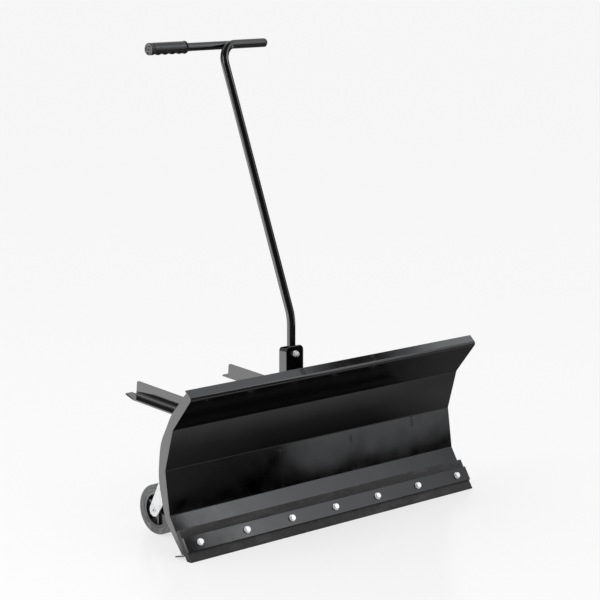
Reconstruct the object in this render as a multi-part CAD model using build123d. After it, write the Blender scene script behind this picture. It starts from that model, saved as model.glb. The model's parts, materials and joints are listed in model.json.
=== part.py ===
from build123d import *
from math import atan2, cos, degrees, radians, sin, sqrt, tan
import os

# All lengths in millimetres.  +X across the blade, +Y rearward, +Z up.
# Origin: mid-width, on the ground, in the middle of the wear strip's level foot.
# The dimensions below are measured from the strip's front bottom edge instead;
# save() moves every finished shape to the origin.

os.makedirs("parts", exist_ok=True)

# ---- driving dimensions: blade ----
BLADE_W = 1000.0
SHEET_T = 3.0
END_T = 4.0
RIB_T = 5.0
FOOT_R, BEND_R, CREST_R = 2.0, 5.0, 6.0
STRIP_H, STRIP_T = 83.6, 12.9
BAR_LOW, BAR_W, BAR_T = 24.2, 37.4, 5.0
FOOT_GAP = 20.4                      # along the lowest facet, strip's foot to sheet's fold
FACETS = ((104.6, 31.3), (107.4, 7.9), (107.4, -15.5), (107.4, -38.8), (28.5, 46.9))
FOOT_L, FOOT_TILT = 36.4, 103.5      # return flange under the lowest facet
BOLT_COUNT, BOLT_PITCH = 7, 152.0
INNER_RIB_X, OUTER_RIB_X = 125.0, 355.0
RIB_REAR = ((22, 398), (47, 369), (67, 346), (85.5, 312), (104, 275), (112, 229),
            (114, 184), (106, 143), (91, 91), (71.5, 61), (33, 12.5))
RIB_TOP = 20.0                       # stiffeners stop this far along the top flange
TAB_CLEAR, CREST_CLEAR = 1.0, 3.2

# ---- driving dimensions: push frame ----
PITCH = 4.9                          # arms rise to the rear
ARM_X, ANGLE_L, ANGLE_T = 161.0, 40.0, 4.0
FRAME_Z = 250.2                      # height of the arms' top line at Y = 0
ARM_FRONT, ARM_REAR = 232.0, 590.6
FLANGE_EXTRA, FLANGE_TAPER, FLANGE_END = 22.0, 52.0, 22.0
ANGLE_ROOT_R = 6.0
HINGE_V, HINGE_W = 376.4, -16.5
HINGE_R, RUN_GAP = 8.0, 0.1
MOUNT_R = 5.25
MOUNT_V, MOUNT_W = (262.0, 345.0), -18.0
CROSS_FRONT, CROSS_REAR, CROSS_W, CROSS_T = 300.0, 340.0, -36.0, 6.0
ARM_CORNER_R = 5.0

# ---- driving dimensions: lift carriage ----
SIDE_X, SIDE_T = 56.0, 6.0
KING_Y, KING_R, KING_TUBE_R = 140.0, 10.0, 18.0
SECTOR_Z, SECTOR_T = 207.0, 6.0
TONGUE_Z, TONGUE_T, TONGUE_GAP = 215.0, 6.0, 30.0
SECTOR_R, SLOT_R, SLOT_W, SWING = 115.0, 95.0, 12.6, 25.0
CLAMP_R = 6.0
SOCKET_X, SOCKET_Y0, SOCKET_Y1, SOCKET_T = 30.0, 163.5, 191.5, 3.0
SOCKET_SIDE_Z, SOCKET_TOP_Z = 427.5, 431.5
LEVER_PIVOT_Z, LEVER_TAIL = 411.0, 72.0
LEVER_BOLT_R = 4.0

# ---- driving dimensions: lever ----
TUBE_R, TUBE_T = 10.65, 2.0
LEVER_KNEE = (0.0, 177.5, 503.0)
LEVER_TOP = (0.0, 437.7, 1177.6)
LEVER_END_X, TOP_BEND_R, KNEE_R = 162.0, 50.0, 115.0
BAR_Y, BAR_Z, BAR_LEFT, BAR_RIGHT = 458.7, 1174.3, -220.0, 172.0
GRIP_L, GRIP_R, GRIP_END_R = 122.0, 15.2, 15.8

# ---- driving dimensions: castors ----
CASTOR_X, SWIVEL_Y, AXLE_Y = 381.0, 205.0, 247.0
WHEEL_R, WHEEL_W, RIM_R, HUB_R, HUB_W = 62.5, 32.0, 45.0, 14.0, 37.4
FORK_W, FORK_T, FORK_LEG, FORK_FOOT_R, CROWN_Z = 44.0, 3.0, 40.0, 16.0, 137.0
ARM_Z, ARM_T, ARM_HALF = 150.0, 6.0, 20.5
KINGBOLT_R, AXLE_R, BUSH_R = 6.0, 5.0, 7.5
RIVET_BORE, RIVET_HEAD_R, RIVET_HEAD_T = 3.0, 6.6, 1.6


# ---- small helpers ----
def place(shape, origin, direction):
    """Move a shape built on +Z so that its axis starts at origin along direction."""
    return Plane(origin=origin, z_dir=direction).location * shape


def rod(radius, start, end):
    """Round bar between two points."""
    a, b = Vector(start), Vector(end)
    blank = extrude(Circle(radius), amount=(b - a).length)
    return place(blank, a, b - a)


def pipe(outer, inner, start, end):
    """Round tube between two points."""
    return rod(outer, start, end) - rod(inner, start, end)


def box(x0, x1, y0, y1, z0, z1):
    """Block between two corners."""
    size = (x1 - x0, y1 - y0, z1 - z0)
    return Pos((x0 + x1) / 2, (y0 + y1) / 2, (z0 + z1) / 2) * Box(*size)


def side_plate(points, x0, x1):
    """Polygon given as (y, z), made solid between two X planes."""
    face = make_face(Polyline(*[(x0, y, z) for y, z in points], close=True))
    return extrude(face, amount=x1 - x0, dir=(1, 0, 0))


def level_plate(edges, thickness):
    """Flat outline in a level plane, made solid upwards."""
    return extrude(make_face(edges), amount=thickness, dir=(0, 0, 1))


def hex_blank(across, height):
    """Hexagon with its top corners turned off, standing on Z = 0."""
    prism = extrude(RegularPolygon(across / 2, 6, major_radius=False), amount=height)
    turned = extrude(Circle(across * 0.578), amount=height)
    return prism & chamfer(turned.edges().sort_by(Axis.Z)[-1:], across * 0.06)


def hex_bolt(radius, length, across, head):
    """Bolt: underside of the head on Z = 0, shank upwards, chamfered tip."""
    shank = extrude(Circle(radius), amount=length)
    shank = chamfer(shank.edges().sort_by(Axis.Z)[-1:], radius * 0.2)
    return shank + Rot(180, 0, 0) * hex_blank(across, head)


def hex_nut(radius, across, height):
    """Nut standing on Z = 0."""
    return hex_blank(across, height) - extrude(Circle(radius), amount=height)


def ring(outer, inner, height):
    """Washer standing on Z = 0."""
    return extrude(Circle(outer) - Circle(inner), amount=height)


def group(solids):
    """Several identical solids in one node."""
    return Compound(children=[s for shape in solids for s in shape.solids()])


def save(node, shape):
    """Write one node's file, moved to the origin."""
    moved = [Pos(0, -ORIGIN_Y, 0) * solid for solid in shape.solids()]
    export_step(moved[0] if len(moved) == 1 else group(moved), "parts/" + node + ".step")


def mirrored(shape):
    """The same shape on the other side."""
    return mirror(shape, about=Plane.YZ)


def both(node, shape):
    """Write a right-hand shape and its left-hand mirror image."""
    save(node + "_right", shape)
    save(node + "_left", mirrored(shape))


def corner_arc(before, corner, after, radius):
    """Start, middle and end points of the arc that rounds a corner."""
    back, on = (before - corner).normalized(), (after - corner).normalized()
    half = radians(back.get_angle(on)) / 2
    inward = (back + on).normalized()
    centre = corner + inward * (radius / sin(half))
    run = radius / tan(half)
    return corner + back * run, centre - inward * radius, corner + on * run


def rounded_path(points, radii):
    """Lines and arcs through points, with one radius per inner corner."""
    points = [Vector(*p) for p in points]
    edges, start = [], points[0]
    for i, radius in enumerate(radii, 1):
        first, middle, last = corner_arc(points[i - 1], points[i], points[i + 1], radius)
        edges += [Line(start, first), ThreePointArc(first, middle, last)]
        start = last
    return edges + [Line(start, points[-1])]


def step_from(point, length, tilt):
    """Next profile point: tilt is measured from straight up towards the rear."""
    return (point[0] + length * sin(radians(tilt)), point[1] + length * cos(radians(tilt)))


def frame_point(v, w, x=0.0):
    """Point of the pitched frame: v along the arms, w square to them."""
    a = radians(PITCH)
    return (x, v * cos(a) - w * sin(a), FRAME_Z + v * sin(a) + w * cos(a))


FRAME = Location((0, 0, FRAME_Z), (PITCH, 0, 0))

# ---- blade profile ----
STRIP_TILT = FACETS[0][1]
ALONG = (sin(radians(STRIP_TILT)), cos(radians(STRIP_TILT)))
REARWARD = (cos(radians(STRIP_TILT)), -sin(radians(STRIP_TILT)))


ORIGIN_Y = STRIP_T / REARWARD[0] / 2


def on_strip(along, depth):
    """Point given along the wear strip's face and into it."""
    return (along * ALONG[0] + depth * REARWARD[0], along * ALONG[1] + depth * REARWARD[1])


def front_profile():
    """Front surface of the sheet, from the return flange's tip to the top edge."""
    fold = on_strip(FOOT_GAP, STRIP_T)
    points = [step_from(fold, FOOT_L, FOOT_TILT), fold]
    for length, tilt in FACETS:
        points.append(step_from(points[-1], length, tilt))
    return points


def offset_profile(points, depth):
    """The same profile moved rearward by depth, with mitred corners."""
    lines = []
    for (y0, z0), (y1, z1) in zip(points, points[1:]):
        size = sqrt((y1 - y0) ** 2 + (z1 - z0) ** 2)
        ny, nz = (z1 - z0) / size, -(y1 - y0) / size
        lines.append(((y0 + ny * depth, z0 + nz * depth), (y1 + ny * depth, z1 + nz * depth)))
    result = [lines[0][0]]
    for (p, q), (r, s) in zip(lines, lines[1:]):
        d, e = (q[0] - p[0], q[1] - p[1]), (s[0] - r[0], s[1] - r[1])
        t = ((r[0] - p[0]) * e[1] - (r[1] - p[1]) * e[0]) / (d[0] * e[1] - d[1] * e[0])
        result.append((p[0] + d[0] * t, p[1] + d[1] * t))
    return result + [lines[-1][1]]


FRONT = front_profile()
BACK = offset_profile(FRONT, SHEET_T)
FOLDED_BACK = (0, 4)                 # inner corners at the foot and at the crest
INSIDE_R = (FOOT_R, BEND_R, BEND_R, BEND_R, CREST_R)


def sheet_blank(half_width):
    """Folded sheet without any cut-outs."""
    front_r = [r + SHEET_T if i in FOLDED_BACK else r for i, r in enumerate(INSIDE_R)]
    back_r = [r if i in FOLDED_BACK else r + SHEET_T for i, r in enumerate(INSIDE_R)]
    front = rounded_path([(-half_width, y, z) for y, z in FRONT], front_r)
    back = rounded_path([(-half_width, y, z) for y, z in BACK], back_r)
    ends = [Line(front[0] @ 0, back[0] @ 0), Line(front[-1] @ 1, back[-1] @ 1)]
    return extrude(make_face(front + ends + back), amount=2 * half_width, dir=(1, 0, 0))


BLANK = sheet_blank(BLADE_W / 2)


def stiffener(x0, x1):
    """Plate that fills the sheet's hollow back between two X planes."""
    start = offset_profile(FRONT, SHEET_T * 0.92)
    low = (start[1][0] + ALONG[0] * 4, start[1][1] + ALONG[1] * 4)
    tip = step_from(start[-2], RIB_TOP, FACETS[-1][1])
    edge = [(x0, y, z) for y, z in [low] + start[2:-1] + [tip]]
    rear = [edge[-1]] + [(x0, y, z) for y, z in RIB_REAR]
    outline = [Polyline(*edge), Line(rear[0], rear[1]), Spline(*rear[1:]),
               Line(rear[-1], edge[0])]
    return extrude(make_face(outline), amount=x1 - x0, dir=(1, 0, 0)) - BLANK


def tab(x, low_z, high_z, clear):
    """Block through the sheet's third facet between two heights."""
    half = RIB_T / 2 + clear
    y = lambda z: FRONT[2][0] + (z - FRONT[2][1]) * tan(radians(FACETS[1][1]))
    outline = [(y(low_z - clear), low_z - clear), (y(high_z + clear), high_z + clear),
               (y(high_z + clear) + 8, high_z + clear), (y(low_z - clear) + 8, low_z - clear)]
    return side_plate(outline, x - half, x + half)


def crest_tab(x, clear):
    """Block through the middle of the top flange."""
    (y0, z0), (y1, z1) = FRONT[-2], FRONT[-1]
    dy, dz = (y1 - y0) / FACETS[-1][0], (z1 - z0) / FACETS[-1][0]
    near, far, half = 11 - clear, 22 + clear, RIB_T / 2 + clear
    outline = [(y0 + dy * near, z0 + dz * near), (y0 + dy * far, z0 + dz * far),
               (y0 + dy * far + dz * 6, z0 + dz * far - dy * 6),
               (y0 + dy * near + dz * 6, z0 + dz * near - dy * 6)]
    return side_plate(outline, x - half, x + half)


def inner_tabs(x, clear, crest_clear):
    """All tabs of an inner rib."""
    return tab(x, 172, 192, clear) + tab(x, 106, 128, clear) + crest_tab(x, crest_clear)


def strip_bolt_points():
    """Bolt positions across the blade."""
    first = -(BOLT_COUNT - 1) / 2 * BOLT_PITCH
    return [first + i * BOLT_PITCH for i in range(BOLT_COUNT)]


def at_strip_bolts(shape, depth):
    """A fastener copied to every bolt, starting at a depth into the strip."""
    y, z = on_strip(BAR_LOW + BAR_W / 2, depth)
    axis = (0, REARWARD[0], REARWARD[1])
    return [place(shape, (x, y, z), axis) for x in strip_bolt_points()]


def strip_holes(radius):
    """Cutters along the strip bolts."""
    return at_strip_bolts(extrude(Circle(radius), amount=60), -20)


def build_blade():
    """Moldboard, its stiffeners and the wear strip."""
    sheet = BLANK
    for cutter in strip_holes(4.5):
        sheet -= cutter
    vent = on_strip(82, STRIP_T)
    for side in (-1, 1):
        x = side * INNER_RIB_X
        sheet -= inner_tabs(x, TAB_CLEAR, CREST_CLEAR)
        sheet -= tab(side * OUTER_RIB_X, 180, 203, TAB_CLEAR)
        sheet -= place(extrude(Circle(2.5), amount=40), (x + 12, vent[0] - 10, vent[1] + 6),
                       (0, REARWARD[0], REARWARD[1]))
    save("moldboard", sheet)

    half = BLADE_W / 2
    both("end_plate", stiffener(half - END_T, half))
    inner = stiffener(INNER_RIB_X - RIB_T / 2, INNER_RIB_X + RIB_T / 2)
    inner += inner_tabs(INNER_RIB_X, 0, 0) & BLANK
    save("inner_ribs", group([inner, mirrored(inner)]))
    outer = stiffener(OUTER_RIB_X - RIB_T / 2, OUTER_RIB_X + RIB_T / 2)
    outer += tab(OUTER_RIB_X, 180, 203, 0) & BLANK
    save("outer_ribs", group([outer, mirrored(outer)]))

    top, top_back = on_strip(STRIP_H, 0), on_strip(STRIP_H, STRIP_T)
    ground = STRIP_T / cos(radians(STRIP_TILT))
    strip = side_plate([(0, 0), top, top_back, (ground, 0)], -half, half)
    bar = side_plate([on_strip(BAR_LOW, -BAR_T), on_strip(BAR_LOW + BAR_W, -BAR_T),
                      on_strip(BAR_LOW + BAR_W, 0), on_strip(BAR_LOW, 0)], -half, half)
    bar = fillet(bar.edges().filter_by(Axis.X).sort_by(Axis.Y)[:2], 0.8)
    for cutter in strip_holes(4.5):
        strip -= cutter
        bar -= cutter
    save("wear_strip", strip)
    save("clamp_bar", bar)

    face, rear = -BAR_T, STRIP_T + SHEET_T
    flat = ring(8.5, 4.2, 1.6)
    save("strip_washers", group(at_strip_bolts(flat, face - 1.6) + at_strip_bolts(flat, rear)))
    save("strip_bolts", group(at_strip_bolts(hex_bolt(4, 35, 13, 5.3), face - 1.6)))
    save("strip_nuts", group(at_strip_bolts(hex_nut(4, 13, 6.8), rear + 1.6)))


def pivot_outline(front_y, nose, z):
    """Tapered plate outline round the king pin."""
    wide = INNER_RIB_X - RIB_T / 2
    return [Polyline((-nose, KING_Y, z), (-wide, front_y, z), (wide, front_y, z), (nose, KING_Y, z)),
            ThreePointArc((nose, KING_Y, z), (0, KING_Y + nose, z), (-nose, KING_Y, z))]


def sector_outline(front_y, z):
    """Tapered plate outline that ends in the clamp sector."""
    wide, reach = INNER_RIB_X - RIB_T / 2, radians(SWING + 10)
    x, y = SECTOR_R * sin(reach), KING_Y + SECTOR_R * cos(reach)
    return [Polyline((-x, y, z), (-wide, front_y, z), (wide, front_y, z), (x, y, z)),
            ThreePointArc((x, y, z), (0, KING_Y + SECTOR_R, z), (-x, y, z))]


def sector_slot():
    """Curved slot that the clamp bolt runs in."""
    reach = radians(SWING + 0.5)
    point = lambda r, a: (r * sin(a), KING_Y + r * cos(a), 0)
    inner, outer = SLOT_R - SLOT_W / 2, SLOT_R + SLOT_W / 2
    outline = [ThreePointArc(point(inner, -reach), point(inner, 0), point(inner, reach)),
               Line(point(inner, reach), point(outer, reach)),
               ThreePointArc(point(outer, reach), point(outer, 0), point(outer, -reach)),
               Line(point(outer, -reach), point(inner, -reach))]
    slot = extrude(make_face(outline), amount=300, dir=(0, 0, 1))
    for angle in (-reach, reach):
        x, y, _ = point(SLOT_R, angle)
        slot += rod(SLOT_W / 2, (x, y, 0), (x, y, 300))
    return slot


def build_pivot():
    """Plates, pin and retaining parts that hang the blade on the tongue."""
    upper_z = TONGUE_Z + 2 * TONGUE_T + TONGUE_GAP + 2
    hole = rod(KING_R + 0.05, (0, KING_Y, 0), (0, KING_Y, 400))
    upper = level_plate(pivot_outline(77, 22, upper_z), SECTOR_T) - BLANK - hole
    save("pivot_plate_upper", upper)
    lower = level_plate(sector_outline(91, SECTOR_Z), SECTOR_T) - BLANK - hole - sector_slot()
    save("pivot_plate_lower", lower)
    top = upper_z + SECTOR_T
    pin = rod(KING_R, (0, KING_Y, SECTOR_Z - 16), (0, KING_Y, top))
    pin += chamfer(rod(16, (0, KING_Y, top), (0, KING_Y, top + 5)).edges().sort_by(Axis.Z)[-1:], 1)
    pin -= rod(2.6, (-20, KING_Y, SECTOR_Z - 8), (20, KING_Y, SECTOR_Z - 8))
    save("king_pin", pin)
    save("king_washer", pipe(17, KING_R + 0.2, (0, KING_Y, SECTOR_Z - 3), (0, KING_Y, SECTOR_Z)))
    split = rod(2.4, (-17, KING_Y, SECTOR_Z - 8), (17, KING_Y, SECTOR_Z - 8))
    split += Pos(-20, KING_Y, SECTOR_Z - 8) * Torus(4.2, 1.9)
    save("split_pin", split)


def build_castor_arms():
    """Brackets on the blade that the castors hang from, with their king bolts."""
    y_end, z1 = SWIVEL_Y, ARM_Z + ARM_T
    x0, x1 = CASTOR_X - ARM_HALF, CASTOR_X + ARM_HALF
    arm = box(x0, x1, 85, y_end, ARM_Z, z1)
    arm += rod(ARM_HALF, (CASTOR_X, y_end, ARM_Z), (CASTOR_X, y_end, z1))
    arm = arm - BLANK - rod(KINGBOLT_R + 0.2, (CASTOR_X, y_end, 0), (CASTOR_X, y_end, 300))
    save("castor_arms", group([arm, mirrored(arm)]))
    gusset = side_plate([(85, z1), (180, z1), (180, z1 + 6), (92.3, 212)],
                        CASTOR_X - 2.5, CASTOR_X + 2.5) - BLANK
    save("castor_gussets", group([gusset, mirrored(gusset)]))

    def paired(shape, z, direction=(0, 0, 1)):
        return group([place(shape, (side * CASTOR_X, SWIVEL_Y, z), direction)
                      for side in (-1, 1)])
    under = CROWN_Z - FORK_T - 0.5
    save("castor_king_bolts", paired(hex_bolt(KINGBOLT_R, z1 + 15 - under, 18, 7.5), under))
    save("castor_king_washers", paired(ring(12, KINGBOLT_R + 0.2, 2.5), z1))
    save("castor_king_nuts", paired(hex_nut(KINGBOLT_R, 18, 10), z1 + 2.5))
    cup = ring(21, KINGBOLT_R + 0.3, 6)
    save("castor_upper_races", paired(cup, ARM_Z - 6))


def fork_side():
    """Outline of a fork leg seen from the side."""
    foot = Pos(AXLE_Y, WHEEL_R) * Circle(FORK_FOOT_R)
    crown = Pos(SWIVEL_Y, CROWN_Z - 5) * Rectangle(FORK_LEG + 4, 10)
    return make_hull(foot.edges() + crown.edges())


def build_castor():
    """One castor: fork, races, axle and wheel."""
    axis_x = CASTOR_X
    legs = extrude(Plane.YZ.offset(axis_x - FORK_W) * fork_side(), amount=2 * FORK_W)
    outer = box(axis_x - FORK_W / 2, axis_x + FORK_W / 2, 100, 320, 0, CROWN_Z)
    outer = fillet(outer.edges().filter_by(Axis.Y).sort_by(Axis.Z)[-2:], 5)
    inner = box(axis_x - FORK_W / 2 + FORK_T, axis_x + FORK_W / 2 - FORK_T, 90, 330,
                -10, CROWN_Z - FORK_T)
    inner = fillet(inner.edges().filter_by(Axis.Y).sort_by(Axis.Z)[-2:], 2)
    fork = (outer - inner) & legs
    fork += rod(18, (axis_x, SWIVEL_Y, CROWN_Z - 1), (axis_x, SWIVEL_Y, ARM_Z - 6.4))
    fork -= rod(KINGBOLT_R + RUN_GAP, (axis_x, SWIVEL_Y, 100), (axis_x, SWIVEL_Y, 200))
    fork -= rod(AXLE_R + 0.1, (axis_x - 40, AXLE_Y, WHEEL_R), (axis_x + 40, AXLE_Y, WHEEL_R))
    both("castor_fork", fork)
    both("castor_axle", axle_rivet(axis_x))


def axle_rivet(axis_x):
    """Hollow rivet through the fork legs."""
    at = lambda x: (axis_x + x, AXLE_Y, WHEEL_R)
    end = FORK_W / 2
    axle = rod(AXLE_R, at(-end), at(end))
    for side in (-1, 1):
        head = rod(RIVET_HEAD_R, at(side * end), at(side * (end + RIVET_HEAD_T)))
        rim = head.edges().filter_by(GeomType.CIRCLE).sort_by(Axis.X)
        axle += fillet(rim[-1:] if side > 0 else rim[:1], 1.0)
    return axle - rod(RIVET_BORE, at(-end - 5), at(end + 5))


def wheel_section(points):
    """Ring of the wheel: points are (offset from the wheel's centre plane, radius)."""
    face = make_face(Polyline(*[(CASTOR_X + x, AXLE_Y, WHEEL_R + r) for x, r in points], close=True))
    return revolve(face, axis=Axis((CASTOR_X, AXLE_Y, WHEEL_R), (1, 0, 0)))


def build_wheel():
    """Dished rim with ribs, bush and tyre."""
    centre = (CASTOR_X, AXLE_Y, WHEEL_R)
    rim = wheel_section([(-13, RIM_R - 6), (13, RIM_R - 6), (13, RIM_R), (-13, RIM_R)])
    rim += wheel_section([(-HUB_W / 2, BUSH_R), (HUB_W / 2, BUSH_R), (HUB_W / 2, HUB_R),
                          (-HUB_W / 2, HUB_R)])
    rim += wheel_section([(-3, HUB_R - 2), (3, HUB_R - 2), (3, RIM_R - 4), (-3, RIM_R - 4)])
    for i in range(6):
        rib = box(CASTOR_X - 9, CASTOR_X + 9, AXLE_Y - 2.5, AXLE_Y + 2.5, WHEEL_R + HUB_R - 1,
                  WHEEL_R + RIM_R - 5)
        rim += rib.rotate(Axis(centre, (1, 0, 0)), 60 * i)
    both("castor_rim", rim)
    both("castor_bush", pipe(BUSH_R, AXLE_R + RUN_GAP, (CASTOR_X - HUB_W / 2, AXLE_Y, WHEEL_R),
                             (CASTOR_X + HUB_W / 2, AXLE_Y, WHEEL_R)))
    half, groove = WHEEL_W / 2, WHEEL_R - 1.2
    side = [(13, RIM_R), (half - 1, RIM_R + 2), (half, RIM_R + 7), (half - 0.5, WHEEL_R - 3.5),
            (half - 2.2, WHEEL_R - 0.9), (half - 5, WHEEL_R), (6.5, WHEEL_R), (6, groove),
            (5, groove), (4.5, WHEEL_R)]
    profile = side + [(-x, r) for x, r in reversed(side)]
    both("castor_tyre", wheel_section(profile))


def arm_solid():
    """Right-hand angle iron, built along the pitched frame's axis."""
    outer = ARM_X + ANGLE_L
    leg = box(ARM_X, ARM_X + ANGLE_T, ARM_FRONT, ARM_REAR, -ANGLE_L, 0)
    leg = fillet(leg.edges().filter_by(Axis.X).sort_by(Axis.Y)[-2:].sort_by(Axis.Z)[-1:], ARM_CORNER_R)
    rear = ARM_REAR + FLANGE_EXTRA
    points = [(ARM_X, ARM_FRONT), (outer, ARM_FRONT), (outer, rear - FLANGE_TAPER),
              (ARM_X + FLANGE_END, rear), (ARM_X, rear)]
    face = make_face(Polyline(*[(x, v, -ANGLE_L) for x, v in points], close=True))
    flange = extrude(face, amount=ANGLE_T, dir=(0, 0, 1))
    x, w = ARM_X + ANGLE_T, -ANGLE_L + ANGLE_T
    corner = box(x, x + ANGLE_ROOT_R, ARM_FRONT, ARM_REAR, w, w + ANGLE_ROOT_R)
    corner -= rod(ANGLE_ROOT_R, (x + ANGLE_ROOT_R, ARM_FRONT - 1, w + ANGLE_ROOT_R),
                  (x + ANGLE_ROOT_R, ARM_REAR + 1, w + ANGLE_ROOT_R))
    arm = leg + flange + corner
    for v in MOUNT_V:
        arm -= rod(MOUNT_R, (ARM_X - 5, v, MOUNT_W), (outer, v, MOUNT_W))
    arm -= rod(HINGE_R + 0.1, (ARM_X - 5, HINGE_V, HINGE_W), (outer, HINGE_V, HINGE_W))
    return arm


def build_push_frame():
    """Arms, cross members and the hinge shaft with its fasteners."""
    both("arm", FRAME * arm_solid())
    save("cross_plate", FRAME * box(-ARM_X, ARM_X, CROSS_FRONT, CROSS_REAR,
                                    CROSS_W - CROSS_T, CROSS_W))
    stop = HINGE_V + 24.4
    save("cross_bar_rear", FRAME * box(-ARM_X, ARM_X, stop, stop + 6, -ANGLE_L + 2, -6))
    at = lambda x: (x, HINGE_V, HINGE_W)
    out = ARM_X + ANGLE_T
    shaft = rod(HINGE_R, at(-out - 20), at(out + 20))
    save("hinge_shaft", FRAME * chamfer(shaft.edges().filter_by(GeomType.CIRCLE), 1.2))
    pair = lambda shape, x: group([FRAME * place(shape, at(s * x), (s, 0, 0)) for s in (-1, 1)])
    save("hinge_washers", pair(ring(13.5, HINGE_R + 0.2, 2.5), out))
    save("hinge_nuts", pair(hex_nut(HINGE_R, 24, 13), out + 2.5))


def side_outline():
    """Side plate of the carriage as (y, z) points."""
    floor = TONGUE_Z
    rest = CROSS_W + 0.2
    pts = [(KING_Y - 16, floor), (270, floor), frame_point(292, rest)[1:],
           frame_point(HINGE_V + 8, rest)[1:], frame_point(HINGE_V + 20, rest + 12)[1:],
           frame_point(HINGE_V + 20, HINGE_W + 10)[1:], frame_point(HINGE_V + 12, HINGE_W + 18)[1:],
           frame_point(240, HINGE_W + 18)[1:], (KING_Y - 6, TONGUE_Z + 2 * TONGUE_T + TONGUE_GAP),
           (KING_Y - 16, TONGUE_Z + 2 * TONGUE_T + TONGUE_GAP - 6)]
    return pts


def build_carriage():
    """Lift carriage with tongue, socket and the lever's pivot bolt."""
    side = side_plate(side_outline(), SIDE_X, SIDE_X + SIDE_T)
    tube_at = lambda x: frame_point(HINGE_V, HINGE_W, x)
    side -= rod(15, tube_at(0), tube_at(200))
    both("carriage_side", side)
    end = ARM_X - 0.3
    save("hinge_tube", pipe(15, HINGE_R + RUN_GAP, tube_at(-end), tube_at(end)))
    z0, z1 = TONGUE_Z, TONGUE_Z + TONGUE_T
    z2, z3 = z1 + TONGUE_GAP, z1 + TONGUE_GAP + TONGUE_T
    bore = rod(KING_R + RUN_GAP, (0, KING_Y, 0), (0, KING_Y, 400))
    clamp_y = KING_Y + SLOT_R
    clamp = rod(CLAMP_R + 0.2, (0, clamp_y, 0), (0, clamp_y, 400))
    save("tongue_plate_lower", box(-SIDE_X, SIDE_X, KING_Y - 16, 268, z0, z1) - bore - clamp)
    save("tongue_plate_upper", box(-SIDE_X, SIDE_X, KING_Y - 16, 206, z2, z3) - bore)
    save("king_tube", rod(KING_TUBE_R, (0, KING_Y, z1), (0, KING_Y, z2)) - bore
         - box(-50, 50, KING_Y - 40, KING_Y - 16, 0, 400))
    washers = [pipe(20, KING_R + 0.15, (0, KING_Y, z), (0, KING_Y, z + 1.9))
               for z in (z0 - 1.95, z3 + 0.05)]
    save("thrust_washers", group(washers))
    socket = box(-SOCKET_X, SOCKET_X, SOCKET_Y0, SOCKET_Y1, z3, SOCKET_TOP_Z)
    corners = socket.edges().filter_by(Axis.Y).sort_by(Axis.Z)[-2:]
    socket = fillet(corners, 14)
    socket = fillet(socket.edges().filter_by(Axis.Z), 2)
    socket -= box(-SOCKET_X + SOCKET_T, SOCKET_X - SOCKET_T, SOCKET_Y0 + SOCKET_T,
                  SOCKET_Y1 - SOCKET_T, z3 - 1, SOCKET_TOP_Z + 1)
    socket -= box(-SOCKET_X - 1, SOCKET_X + 1, SOCKET_Y0 + SOCKET_T, SOCKET_Y1 + 1,
                  SOCKET_SIDE_Z, SOCKET_TOP_Z + 1)
    socket -= rod(LEVER_BOLT_R + 0.2, (0, 100, LEVER_PIVOT_Z), (0, 250, LEVER_PIVOT_Z))
    save("lever_socket", socket)
    head = SOCKET_Y1 + 1.6
    save("lever_bolt", place(hex_bolt(LEVER_BOLT_R, head - SOCKET_Y0 + 13, 13, 5.3),
                             (0, head, LEVER_PIVOT_Z), (0, -1, 0)))
    save("lever_nut", place(hex_nut(LEVER_BOLT_R, 13, 6.8), (0, SOCKET_Y0 - 1.6, LEVER_PIVOT_Z),
                            (0, -1, 0)))
    flat = ring(8.5, LEVER_BOLT_R + 0.2, 1.6)
    save("lever_washers", group([place(flat, (0, SOCKET_Y0, LEVER_PIVOT_Z), (0, -1, 0)),
                                 place(flat, (0, SOCKET_Y1, LEVER_PIVOT_Z), (0, 1, 0))]))
    clamp_bolt = hex_bolt(CLAMP_R, 38, 18, 7.5)
    save("clamp_bolt", place(clamp_bolt, (0, clamp_y, SECTOR_Z - 3), (0, 0, 1)))
    save("clamp_washers", group([
        place(ring(15, CLAMP_R + 0.2, 2.8), (0, clamp_y, SECTOR_Z - 3), (0, 0, 1)),
        place(ring(15, CLAMP_R + 0.2, 2.5), (0, clamp_y, z1), (0, 0, 1))]))
    knob = extrude(Circle(20), amount=16)
    for i in range(6):
        knob += Pos(20 * cos(radians(60 * i)), 20 * sin(radians(60 * i)), 0) * \
            extrude(Circle(6), amount=16)
    turned = extrude(Circle(26), amount=16)
    knob &= fillet(turned.edges().sort_by(Axis.Z)[-1:], 5)
    knob += extrude(Circle(11), amount=-6)
    knob -= Pos(0, 0, -10) * extrude(Circle(CLAMP_R + 0.05), amount=24)
    save("angle_knob", place(knob, (0, clamp_y, z1 + 2.6 + 6), (0, 0, 1)))


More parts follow.
